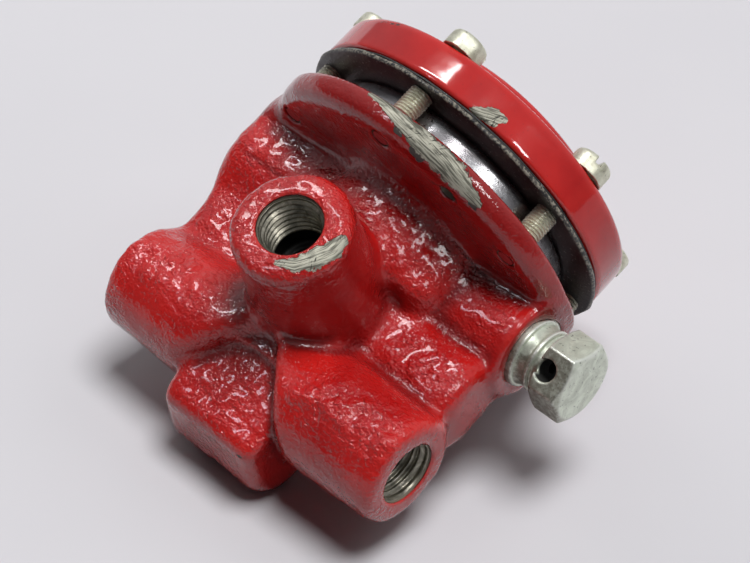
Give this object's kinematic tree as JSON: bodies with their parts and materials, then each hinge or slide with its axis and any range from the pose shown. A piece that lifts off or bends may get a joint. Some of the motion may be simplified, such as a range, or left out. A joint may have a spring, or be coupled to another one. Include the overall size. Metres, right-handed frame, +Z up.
{
  "type": "diaphragm pilot valve",
  "caption": "Small red-painted cast-iron diaphragm pilot valve: round bolted cover over a rubber diaphragm, threaded pipe ports on a lumpy cast body, and a hexagonal vent plug.",
  "frame": {"origin": "middle of the floor plan, on the floor the valve lies on", "axes": "+X along the side ports towards the vent plug, +Y towards the cover, +Z up from the floor; the valve's main axis is tipped up about 22 degrees from +Y, as the valve lies at rest"},
  "size_m": [0.0836, 0.088, 0.0735],
  "materials": {
    "red_casting": "glossy red enamel over rough sand-cast iron",
    "red_cover": "glossy red enamel over a smooth turned rim",
    "gasket_rubber": "matte black sheet",
    "diaphragm_rubber": "satin black rubber",
    "polished_plate": "polished, with fine dust",
    "screw_steel": "plain stainless, slightly worn",
    "plated_plug": "zinc plate with a faint yellow tint"
  },
  "bodies": {
    "root": {"valve_body": "red_casting", "cover": "red_cover", "cover_gasket": "gasket_rubber", "diaphragm": "diaphragm_rubber", "diaphragm_plate": "polished_plate", "cap_screw_1": "screw_steel", "cap_screw_2": "screw_steel", "cap_screw_3": "screw_steel", "cap_screw_4": "screw_steel", "cap_screw_5": "screw_steel", "cap_screw_6": "screw_steel", "vent_plug": "plated_plug"}
  },
  "joints": []
}
